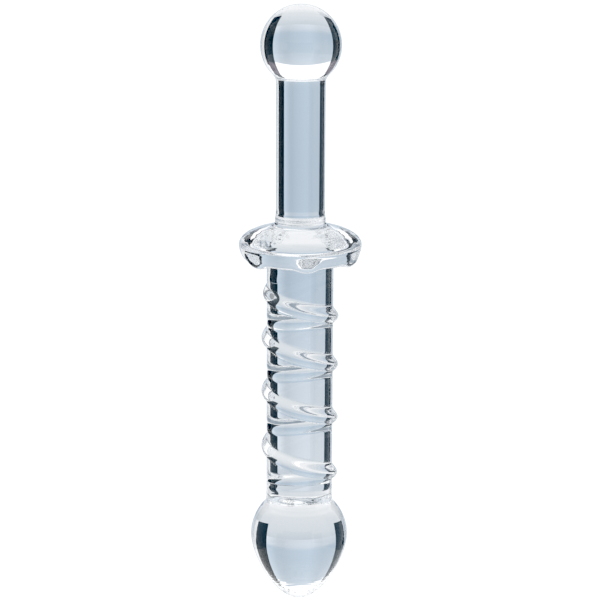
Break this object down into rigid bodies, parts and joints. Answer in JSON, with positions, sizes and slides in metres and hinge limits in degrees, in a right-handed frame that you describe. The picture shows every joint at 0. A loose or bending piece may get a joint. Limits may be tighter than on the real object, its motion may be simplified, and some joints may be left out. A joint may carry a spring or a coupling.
{
  "type": "glass wand",
  "caption": "Solid clear glass wand with a ball-ended handle, a domed flange with a lobed rim, a shaft with a spiral trail and a pear-shaped tip.",
  "frame": {"origin": "lowest point of the tip, on the wand's axis", "axes": "+Z along the wand from the tip to the ball end; +X to the right and -Y towards the viewer of the front"},
  "size_m": [0.045, 0.0452, 0.2242],
  "materials": {
    "clear_glass": "fire-polished, clear"
  },
  "bodies": {
    "root": {"ball_end": "clear_glass", "ball_neck_weld": "clear_glass", "handle_rod": "clear_glass", "handle_collar": "clear_glass", "flange_disc": "clear_glass", "shaft_rod": "clear_glass", "spiral_trail": "clear_glass", "tip_collar": "clear_glass", "bulb_tip": "clear_glass"}
  },
  "joints": []
}
